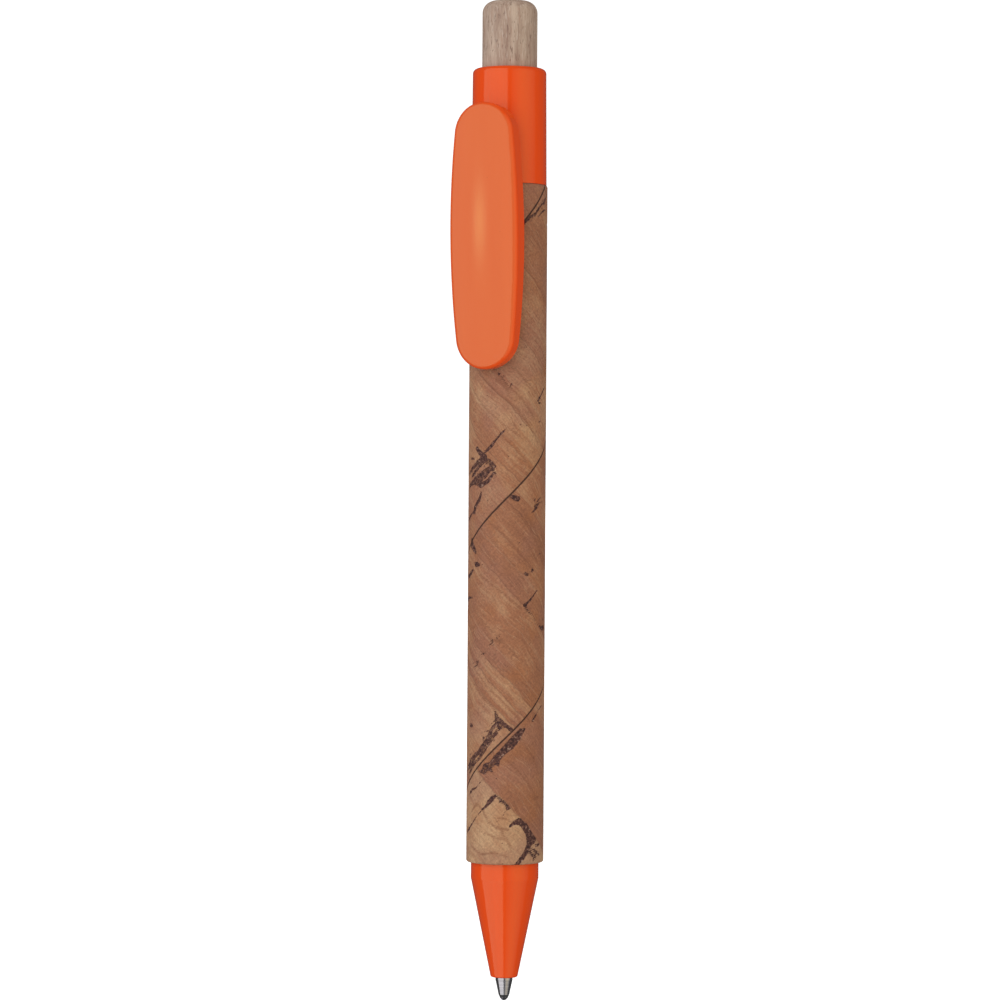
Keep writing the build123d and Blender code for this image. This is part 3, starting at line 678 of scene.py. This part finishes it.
def sanded_cork(settings):
    """Sanded cork veneer: strips laid across the winding, growth lines, fine grain and bark, all matt.

    Growth lines are 0.5 to 0.8 mm apart and run along the veneer strips, across the winding. The
    grain is 0.2 mm wide and 0.7 mm long. Grit and flecks are drawn at 0.3 and 0.4 mm, coarser
    than cork cells, so that they show.
    """
    material, tree = new_material("cork_sanded_ply")
    strip = add_node(tree, "ShaderNodeUVMap", uv_map="strip").outputs["UV"]
    swayed = wandering(tree, strip, 0.16, (2.4, 0.5, 0.0))
    along = add_node(tree, "ShaderNodeSeparateXYZ", {"Vector": strip}).outputs["X"]
    bends = drawn_noise(tree, strip, 0.25)
    nicks = drawn_noise(tree, strip, 1.3, 2.0)
    ragged_along = sum_of(tree, (along, math.sqrt(2)), (bends, 1.7), (nicks, 0.22), (1.0, -0.96))
    patch = veneer_tone(tree, ragged_along)
    past_edge = veneer_tone(tree, sum_of(tree, (ragged_along, 1.0), (1.0, 0.20)))
    step = add_node(
        tree, "ShaderNodeMath", {0: past_edge, 1: patch}, operation="SUBTRACT",
    ).outputs["Value"]
    lines = drawn_noise(tree, swayed, 1.0, 5.0, 0.62, (2.1, 0.13, 1))
    cloud = drawn_noise(tree, strip, 0.22, 5.0, 0.62)
    tone = sum_of(tree, (patch, 0.62), (lines, 0.50), (cloud, 0.62), (1.0, -0.40))
    stops = [(0.12, (*settings.deep, 1)), (0.88, (*settings.light, 1)), (0.48, (*settings.base, 1))]
    colour = add_node(tree, "ShaderNodeValToRGB", {"Fac": tone}, stops=stops).outputs["Color"]
    amber = drawn_noise(tree, swayed, 0.17)
    colour = tint_where(tree, colour, amber, 0.50, 0.66, 0.32, linear("#A5673B"))
    rosy = drawn_noise(tree, strip, 0.12, 2.0)
    colour = tint_where(tree, colour, rosy, 0.48, 0.62, 0.40, linear("#9B6A58"))
    grain = drawn_noise(tree, strip, 1.0, 4.0, 0.7, (1.4, 5.5, 1))
    colour = tint_where(tree, colour, grain, 0.57, 0.72, 0.55, linear("#714838"))
    for per_mm, line_colour, strength in ((1.9, "#CBA27E", 0.20), (1.3, "#6F4431", 0.22)):
        colour = growth_lines(tree, colour, strip, swayed, per_mm, line_colour, strength)
    grit = drawn_noise(tree, strip, 3.2, 3.0, 0.65)
    colour = add_node(
        tree, "ShaderNodeMix", {"Factor": 0.55, "A": colour, "B": grit},
        data_type="RGBA", blend_type="OVERLAY",
    ).outputs["Result"]
    colour = tint_where(tree, colour, step, 0.02, 0.10, 0.16, linear("#C9A484"))
    step_down = sum_of(tree, (step, -1.0))
    colour = tint_where(tree, colour, step_down, 0.02, 0.10, 0.38, linear("#6B4030"))
    vein = add_node(tree, "ShaderNodeAttribute", attribute_name="vein").outputs["Fac"]
    vein = sum_of(tree, (vein, 1.0), (drawn_noise(tree, strip, 1.2, 4.0, 0.7), 0.30))
    colour = tint_where(tree, colour, vein, 1.955, 2.16, 0.47, linear("#7A4A32"))
    ragged = drawn_noise(tree, strip, 2.0, 4.0, 0.65)
    dark = bark_mask(tree, strip, ragged)
    flecks = drawn_noise(tree, strip, 2.4, 4.0, 0.72)
    bark_stops = [
        (0.38, (*settings.bark, 1)), (0.70, linear("#B7A08E")),
        (0.48, linear("#4C2A26")), (0.59, linear("#7B5242")),
    ]
    bark = add_node(tree, "ShaderNodeValToRGB", {"Fac": flecks}, stops=bark_stops).outputs["Color"]
    colour = add_node(
        tree, "ShaderNodeMix", {"Factor": dark, "A": colour, "B": bark}, data_type="RGBA",
    ).outputs["Result"]
    seam = add_node(tree, "ShaderNodeAttribute", attribute_name="seam").outputs["Fac"]
    seam = sum_of(tree, (seam, -1.0), (ragged, -0.14), (1.0, 1.0))
    colour = tint_where(tree, colour, seam, 0.76, 0.86, 0.92, linear("#3B241D"))
    relief = sum_of(tree, (dark, -1.6), (grain, -0.8), (grit, 1.0), (step, 2.0), (flecks, 0.7))
    rough = add_node(tree, "ShaderNodeMapRange", {"Value": grit, "To Min": 0.62, "To Max": 0.86})
    end_material(tree, relief, 0.8, 0.05 * MM, {
        "Base Color": colour, "Roughness": rough.outputs["Result"], "IOR": 1.45,
    })
    return material


def growth_lines(tree, colour, strip, swayed, per_mm, line_colour, strength):
    """Thin lines along the veneer, where slow noise crosses its middle value, kept in places only."""
    slow = drawn_noise(tree, swayed, 1.0, 2.0, 0.5, (per_mm, 0.06, 1))
    ridge = add_node(
        tree, "ShaderNodeMath", {0: slow, 1: 0.5, 2: 0.016}, operation="COMPARE",
    ).outputs["Value"]
    places = drawn_noise(tree, strip, 0.5, 2.0)
    kept = add_node(
        tree, "ShaderNodeMapRange",
        {"Value": places, "From Min": 0.42, "From Max": 0.58, "To Max": strength},
        interpolation_type="SMOOTHSTEP",
    ).outputs["Result"]
    share = add_node(tree, "ShaderNodeMath", {0: ridge, 1: kept}, operation="MULTIPLY").outputs["Value"]
    return add_node(
        tree, "ShaderNodeMix", {"Factor": share, "A": colour, "B": linear(line_colour)}, data_type="RGBA",
    ).outputs["Result"]


def bark_mask(tree, strip, ragged):
    """Where the surface is bark, with ragged edges, and broken by chips of paler cork in places."""
    bark = add_node(tree, "ShaderNodeAttribute", attribute_name="bark").outputs["Fac"]
    broken = add_node(tree, "ShaderNodeAttribute", attribute_name="broken").outputs["Fac"]
    chips = drawn_noise(tree, strip, 1.5, 4.0, 0.7, (0.7, 1.5, 1))
    edges = {
        "bark": (sum_of(tree, (bark, 1.0), (ragged, 0.42)), 2.17, 2.25),
        "broken": (broken, 1.8, 2.3),
        "chips": (chips, 0.53, 0.58),
    }
    masks = {}
    for name, (pattern, low, high) in edges.items():
        masks[name] = add_node(
            tree, "ShaderNodeMapRange", {"Value": pattern, "From Min": low, "From Max": high},
            interpolation_type="SMOOTHSTEP",
        ).outputs["Result"]
    gaps = add_node(
        tree, "ShaderNodeMath", {0: masks["broken"], 1: masks["chips"]}, operation="MULTIPLY",
    ).outputs["Value"]
    solid = add_node(
        tree, "ShaderNodeMath", {0: masks["bark"], 1: gaps}, operation="SUBTRACT", use_clamp=True,
    ).outputs["Value"]
    dots = add_node(
        tree, "ShaderNodeMapRange",
        {
            "Value": sum_of(tree, (masks["broken"], 0.11), (chips, 1.0), (ragged, 0.35)),
            "From Min": 0.86, "From Max": 0.90,
        },
        interpolation_type="SMOOTHSTEP",
    ).outputs["Result"]
    return add_node(tree, "ShaderNodeMath", {0: solid, 1: dots}, operation="MAXIMUM").outputs["Value"]


# ---------------------------------------------------------------- return spring

SPRING_INPUTS = ("Bottom", "Length", "Coil radius", "Wire radius", "Closed turns", "Open turns", "Segments")
# How the spring's shape follows from its inputs, one sum a line: its name, its operation and its
# terms. A place on the wire is counted in turns, and the closed turns rise by one wire a turn.
SPRING_SUMS = (
    ("wire", "MULTIPLY", "Wire radius", 2.0),
    ("turns", "MULTIPLY_ADD", "Closed turns", 2.0, "Open turns"),
    ("points", "MULTIPLY_ADD", "turns", "Segments", 1.0),
    ("wound", "MULTIPLY", "Factor", "turns"),
    ("past closed", "SUBTRACT", "wound", "Closed turns"),
    ("into open", "MAXIMUM", "past closed", 0.0),
    ("open wound", "MINIMUM", "into open", "Open turns"),
    ("closed wound", "SUBTRACT", "wound", "open wound"),
    ("closed wires", "MULTIPLY_ADD", "Closed turns", 2.0, 1.0),
    ("closed height", "MULTIPLY", "wire", "closed wires"),
    ("room", "SUBTRACT", "Length", "closed height"),
    ("pitch", "DIVIDE", "room", "Open turns"),
    ("open rise", "MULTIPLY", "open wound", "pitch"),
    ("rise", "MULTIPLY_ADD", "closed wound", "wire", "open rise"),
    ("foot", "ADD", "Bottom", "Wire radius"),
    ("z", "ADD", "foot", "rise"),
    ("angle", "MULTIPLY", "wound", 2 * math.pi),
    ("cosine", "COSINE", "angle"),
    ("sine", "SINE", "angle"),
    ("x", "MULTIPLY", "cosine", "Coil radius"),
    ("y", "MULTIPLY", "sine", "Coil radius"),
)


def spring_tree(steel):
    """The nodes that wind a wire into a spring: a line, bent round and spaced, then given its thickness."""
    tree = bpy.data.node_groups.new("wound_spring", "GeometryNodeTree")
    tree.interface.new_socket("Geometry", in_out="OUTPUT", socket_type="NodeSocketGeometry")
    for name in SPRING_INPUTS:
        kind = "NodeSocketInt" if name == "Segments" else "NodeSocketFloat"
        tree.interface.new_socket(name, in_out="INPUT", socket_type=kind)
    given = add_node(tree, "NodeGroupInput").outputs
    known = {name: given[name] for name in SPRING_INPUTS}
    known["Factor"] = add_node(tree, "GeometryNodeSplineParameter").outputs["Factor"]
    for name, operation, *terms in SPRING_SUMS:
        inputs = {place: known.get(term, term) for place, term in enumerate(terms)}
        known[name] = add_node(tree, "ShaderNodeMath", inputs, operation=operation).outputs["Value"]
    line = add_node(tree, "GeometryNodeCurvePrimitiveLine").outputs["Curve"]
    line = add_node(
        tree, "GeometryNodeResampleCurve", {"Curve": line, "Count": known["points"]},
    ).outputs["Curve"]
    place = add_node(
        tree, "ShaderNodeCombineXYZ", {"X": known["x"], "Y": known["y"], "Z": known["z"]},
    ).outputs["Vector"]
    coil = add_node(
        tree, "GeometryNodeSetPosition", {"Geometry": line, "Position": place},
    ).outputs["Geometry"]
    section = add_node(
        tree, "GeometryNodeCurvePrimitiveCircle", {"Resolution": 12, "Radius": given["Wire radius"]},
    ).outputs["Curve"]
    mesh = add_node(
        tree, "GeometryNodeCurveToMesh", {"Curve": coil, "Profile Curve": section, "Fill Caps": True},
    ).outputs["Mesh"]
    mesh = add_node(tree, "GeometryNodeSetShadeSmooth", {"Geometry": mesh}).outputs["Geometry"]
    mesh = add_node(tree, "GeometryNodeRealizeInstances", {"Geometry": mesh}).outputs["Geometry"]
    mesh = add_node(
        tree, "GeometryNodeSetMaterial", {"Geometry": mesh, "Material": steel},
    ).outputs["Geometry"]
    add_node(tree, "NodeGroupOutput", {"Geometry": mesh})
    return tree


def wind_spring(settings, steel):
    """The spring as a plain mesh, wound to fill its place between the cone's seat and the holder."""
    low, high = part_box("return_spring")
    sizes = {
        "Bottom": low.z,
        "Length": high.z - low.z,
        "Coil radius": (high.x - low.x - settings.wire) / 2,
        "Wire radius": settings.wire / 2,
        "Closed turns": settings.closed_turns,
        "Open turns": settings.open_turns,
        "Segments": settings.segments,
    }
    carrier = bpy.data.objects.new("spring_carrier", bpy.data.meshes.new("spring_carrier"))
    bpy.context.scene.collection.objects.link(carrier)
    modifier = carrier.modifiers.new("wound_spring", "NODES")
    modifier.node_group = spring_tree(steel)
    for item in modifier.node_group.interface.items_tree:
        if item.name in sizes:
            modifier[item.identifier] = sizes[item.name]
    evaluated = carrier.evaluated_get(bpy.context.evaluated_depsgraph_get())
    mesh = bpy.data.meshes.new_from_object(evaluated)
    mesh.name = "spring_wire"
    bpy.data.objects.remove(carrier)
    spring = bpy.data.objects.new("spring_wire", mesh)
    bpy.context.scene.collection.objects.link(spring)
    return spring


# ---------------------------------------------------------------- operators


class PEN_OT_plastics(bpy.types.Operator):
    """Gives the collar, clip and nose cone their moulded finish."""
    bl_idname = "pen.plastics"
    bl_label = "Collar, clip and cone"

    def execute(self, context):
        settings = context.scene.pen_plastic
        deep = moulded_abs("abs_orange_moulded", settings.colour, settings.flow_colour, settings.roughness)
        # The clip's face gets a lighter, yellower orange, a painted reflection of the key soft box; its
        # sides keep the collar's orange.
        bright = moulded_abs(
            "abs_orange_painted_sheen_moulded", settings.clip_painted_sheen_colour, settings.clip_painted_sheen_flow_colour,
            settings.roughness, colour_past_painted_sheen=settings.colour,
        )
        for node_name, material in (("collar", deep), ("nose_cone", deep), ("clip", bright)):
            finish_cad(node_name, material)
        return {"FINISHED"}


class PEN_OT_inside(bpy.types.Operator):
    """Gives the inner pieces their finishes."""
    bl_idname = "pen.inside"
    bl_label = "Inner pieces"

    def execute(self, context):
        # Acetal is milky and half matt, the tube's plastic is clear white and smoother.
        acetal = plain_finish("acetal_moulded", "#DAD8D2", "#E9E8E4", 0.42, 1.5)
        tube = plain_finish("polypropylene_extruded", "#D9DDE0", "#E6E8EA", 0.30, 1.0)
        # Ink and grease are wet, one nearly black blue and one straw yellow.
        ink = plain_finish("oil_ink", "#0A0F33", "#0D1440", 0.2, 1.0)
        grease = plain_finish("follower_grease", "#C9BE92", "#D8CFA6", 0.3, 1.0)
        kraft = wound_kraft(KRAFT_WIDTH)
        finishes = {
            "plunger": acetal, "rotor": acetal, "cam_guide": acetal, "point_holder": acetal,
            "paper_outer_ply": kraft, "paper_inner_ply": kraft,
            "ink_tube": tube, "ink_column": ink, "grease_plug": grease,
        }
        for node_name, material in finishes.items():
            finish_cad(node_name, material)
        return {"FINISHED"}


class PEN_OT_metals(bpy.types.Operator):
    """Gives the point and the ball their metal finishes."""
    bl_idname = "pen.metals"
    bl_label = "Point and ball"

    def execute(self, context):
        # Turned nickel silver is bright and a little warm, with fine rings round the point.
        point = plain_finish(
            "nickel_silver_turned", "#B1AEB1", "#C7C4C8", 0.13, 6.0, stretch=(0.05, 0.05, 1), metallic=1.0,
        )
        # Lapped carbide is a darker, bluish mirror.
        ball = plain_finish("carbide_lapped", "#7F858E", "#979DA5", 0.12, 4.0, metallic=1.0)
        finish_cad("writing_point", point)
        finish_cad("writing_ball", ball)
        return {"FINISHED"}


class PEN_OT_spring(bpy.types.Operator):
    """Winds the return spring, with closed turns at both ends."""
    bl_idname = "pen.spring"
    bl_label = "Return spring"

    def execute(self, context):
        # Drawn spring steel is grey, with a softer shine than the turned metal.
        steel = plain_finish("spring_steel_drawn", "#9A9A9A", "#BDBDBB", 0.25, 4.0, metallic=1.0)
        spring = wind_spring(context.scene.pen_refill, steel)
        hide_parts("return_spring")
        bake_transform(spring)
        return {"FINISHED"}


class PEN_OT_button(bpy.types.Operator):
    """Gives the button its wood finish."""
    bl_idname = "pen.button"
    bl_label = "Push button"

    def execute(self, context):
        finish_cad("push_button", turned_wood(context.scene.pen_button))
        return {"FINISHED"}


class PEN_OT_cork(bpy.types.Operator):
    """Builds the cork ply with its seam, bark and patches."""
    bl_idname = "pen.cork"
    bl_label = "Cork ply"

    def execute(self, context):
        settings = context.scene.pen_cork
        ply = build_cork(settings, sanded_cork(settings))
        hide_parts("cork_wrap")
        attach(ply, "barrel")
        return {"FINISHED"}


class PEN_OT_stage(bpy.types.Operator):
    """Builds the backdrop, the lights and the camera."""
    bl_idname = "pen.stage"
    bl_label = "Studio"

    def execute(self, context):
        settings = context.scene.pen_stage
        low, high = CAD_BOX
        middle_z = (low.z + high.z) / 2
        make_backdrop(settings, low.z - FLOOR_DROP)
        make_lights(settings, middle_z)
        make_camera(settings, middle_z)
        context.scene.view_settings.view_transform = "Standard"
        return {"FINISHED"}


# ---------------------------------------------------------------- studio

# The floor lies this far below the pen, so that the nose cone clears it when it is pulled off.
FLOOR_DROP = 20 * MM
PAPER_GLOW = 0.6
SWEEP_STEPS = 12
# The camera stands this far to the left of the pen's axis and above its middle.
CAMERA_LEFT = 0.98 * MM
CAMERA_UP = 0.06 * MM


def side_vectors(azimuth):
    """Unit vectors from the pen towards the camera and to the camera's right."""
    towards = Vector((math.sin(azimuth), -math.cos(azimuth), 0))
    right = Vector((math.cos(azimuth), math.sin(azimuth), 0))
    return towards, right


def make_backdrop(settings, floor_z):
    """A floor that sweeps up behind the pen into a wall, in bright studio paper."""
    towards, right = side_vectors(settings.azimuth)
    front, depth, sweep, height, half_width = -1.5, 1.2, 0.5, 2.2, 2.5
    profile = [(front, 0.0), (depth - sweep, 0.0)]
    for step in range(1, SWEEP_STEPS + 1):
        turn = math.radians(90) * step / SWEEP_STEPS
        profile.append((depth - sweep + sweep * math.sin(turn), sweep - sweep * math.cos(turn)))
    profile.append((depth, height))
    verts = []
    for back, up in profile:
        for side in (-half_width, half_width):
            verts.append(-towards * back + right * side + Vector((0, 0, floor_z + up)))
    faces = [(2 * i, 2 * i + 1, 2 * i + 3, 2 * i + 2) for i in range(len(profile) - 1)]
    material, tree = new_material("studio_paper_matt")
    shader = add_node(tree, "ShaderNodeBsdfPrincipled", {
        "Base Color": (*settings.paper, 1), "Roughness": 0.9,
        "Emission Color": (1, 1, 1, 1), "Emission Strength": PAPER_GLOW,
    })
    add_node(tree, "ShaderNodeOutputMaterial", {"Surface": shader.outputs["BSDF"]})
    backdrop = make_piece("backdrop", verts, faces, material)
    backdrop.visible_glossy = False
    backdrop.visible_diffuse = False


def add_softbox(name, settings, middle_z, angle, distance, size, radiance):
    """A soft box that faces the pen, placed by its angle from the camera's direction."""
    towards, right = side_vectors(settings.azimuth)
    place = (towards * math.cos(angle) + right * math.sin(angle)) * distance
    place.z = middle_z
    light = bpy.data.lights.new(name, "AREA")
    light.shape = "RECTANGLE"
    light.size, light.size_y = size
    light.energy = radiance * math.pi * size[0] * size[1]
    lamp = bpy.data.objects.new(name, light)
    lamp.location = place
    aim = Vector((0, 0, middle_z)) - place
    lamp.rotation_euler = aim.to_track_quat("-Z", "Y").to_euler()
    bpy.context.scene.collection.objects.link(lamp)
    return lamp


def add_hot_spot(light, centre, reach, rim, gain):
    """Makes a soft box brighter round one place on its face, as the lamp behind the cloth does.

    Centre and reach are shares of the face. Rim and gain are the brightness at its edge and at
    the centre, where the light is also a little warmer.
    """
    light.use_nodes = True
    tree = light.node_tree
    emission = next(node for node in tree.nodes if node.type == "EMISSION")
    offset = add_node(tree, "ShaderNodeNewGeometry").outputs["Parametric"]
    steps = (("SUBTRACT", (*centre, 0)), ("MULTIPLY", (1 / reach[0], 1 / reach[1], 0)))
    for operation, amount in steps:
        offset = add_node(
            tree, "ShaderNodeVectorMath", {0: offset, 1: amount}, operation=operation,
        ).outputs["Vector"]
    away = add_node(tree, "ShaderNodeVectorMath", {0: offset}, operation="LENGTH").outputs["Value"]
    glow = add_node(
        tree, "ShaderNodeMapRange", {"Value": sum_of(tree, (away, -1.0), (1.0, 1.0))},
        interpolation_type="SMOOTHSTEP",
    ).outputs["Result"]
    warm = add_node(
        tree, "ShaderNodeMix", {"Factor": glow, "A": (1, 1, 1, 1), "B": linear("#FFF0C6")},
        data_type="RGBA",
    ).outputs["Result"]
    tree.links.new(sum_of(tree, (glow, gain - rim), (1.0, rim)), emission.inputs["Strength"])
    tree.links.new(warm, emission.inputs["Color"])


def make_lights(settings, middle_z):
    """A bright soft box on the left, a weaker one on the right, one behind, and a dim room."""
    key = add_softbox(
        "key_softbox", settings, middle_z,
        angle=math.radians(-46.5), distance=0.6, size=(1.02, 1.5), radiance=1.05,
    )
    add_hot_spot(key.data, centre=(0.436, 0.541), reach=(0.10, 0.022), rim=1.0, gain=4.0)
    fill = add_softbox(
        "fill_softbox", settings, middle_z,
        angle=math.radians(46.5), distance=0.6, size=(1.02, 1.5), radiance=0.50,
    )
    add_hot_spot(fill.data, centre=(0.5, 0.5), reach=(0.55, 0.75), rim=0.35, gain=1.75)
    back = add_softbox(
        "back_softbox", settings, middle_z,
        angle=math.radians(180), distance=1.0, size=(1.0, 1.5), radiance=0.85,
    )
    back.visible_camera = False
    back.visible_glossy = False
    world = bpy.data.worlds.new("studio_room")
    world.use_nodes = True
    tree = world.node_tree
    room = tree.nodes["Background"]
    ray = add_node(tree, "ShaderNodeLightPath").outputs
    level = sum_of(tree, (ray["Is Glossy Ray"], -0.37), (ray["Is Camera Ray"], 0.60), (1.0, 0.46))
    tree.links.new(level, room.inputs["Strength"])
    room.inputs["Color"].default_value = linear("#FFFFFF")
    bpy.context.scene.world = world


def make_camera(settings, middle_z):
    """The camera, level with the pen's middle and rolled a little, because the pen leans."""
    towards, right = side_vectors(settings.azimuth)
    data = bpy.data.cameras.new("studio_camera")
    data.lens = settings.lens
    data.sensor_width = 36.0
    data.clip_start, data.clip_end = 0.01, 20.0
    camera = bpy.data.objects.new("studio_camera", data)
    aside = -right * CAMERA_LEFT
    camera.location = towards * settings.distance + aside + Vector((0, 0, middle_z + CAMERA_UP))
    up = Vector((0, 0, 1)) * math.cos(settings.roll) + right * -math.sin(settings.roll)
    across = up.cross(towards)
    rotation = Matrix((across, up, towards)).transposed()
    camera.rotation_mode = "QUATERNION"
    camera.rotation_quaternion = rotation.to_quaternion()
    bpy.context.scene.collection.objects.link(camera)
    bpy.context.scene.camera = camera


class PEN_PT_panel(bpy.types.Panel):
    """Lists the pen's pieces and their settings in the sidebar."""
    bl_idname = "PEN_PT_panel"
    bl_label = "Pen"
    bl_space_type = "VIEW_3D"
    bl_region_type = "UI"
    bl_category = "Pen"

    def draw(self, context):
        for group, operators in PANEL_ROWS:
            box = self.layout.box()
            settings = getattr(context.scene, group)
            for name in type(settings).__annotations__:
                box.prop(settings, name)
            for operator in operators:
                box.operator(operator)


PANEL_ROWS = (
    ("pen_stage", ("pen.stage",)),
    ("pen_plastic", ("pen.plastics",)),
    ("pen_cork", ("pen.cork",)),
    ("pen_button", ("pen.button",)),
    ("pen_refill", ("pen.metals", "pen.spring", "pen.inside")),
)

SETTINGS = {
    "pen_plastic": PlasticSettings,
    "pen_cork": CorkSettings,
    "pen_button": ButtonSettings,
    "pen_refill": RefillSettings,
    "pen_stage": StageSettings,
}

CLASSES = (
    *SETTINGS.values(),
    PEN_OT_stage, PEN_OT_plastics, PEN_OT_cork, PEN_OT_button, PEN_OT_metals, PEN_OT_spring,
    PEN_OT_inside,
    PEN_PT_panel,
)


def register():
    """Registers the classes and hangs the settings on the scene."""
    for item in CLASSES:
        bpy.utils.register_class(item)
    for name, group in SETTINGS.items():
        setattr(bpy.types.Scene, name, PointerProperty(type=group))


def unregister():
    """Takes the settings and the classes away again."""
    for name in SETTINGS:
        delattr(bpy.types.Scene, name)
    for item in reversed(CLASSES):
        bpy.utils.unregister_class(item)


def main():
    """Builds every piece in order."""
    register()
    bpy.ops.pen.stage()
    bpy.ops.pen.plastics()
    bpy.ops.pen.cork()
    bpy.ops.pen.button()
    bpy.ops.pen.metals()
    bpy.ops.pen.spring()
    bpy.ops.pen.inside()


if __name__ == "__main__":
    main()
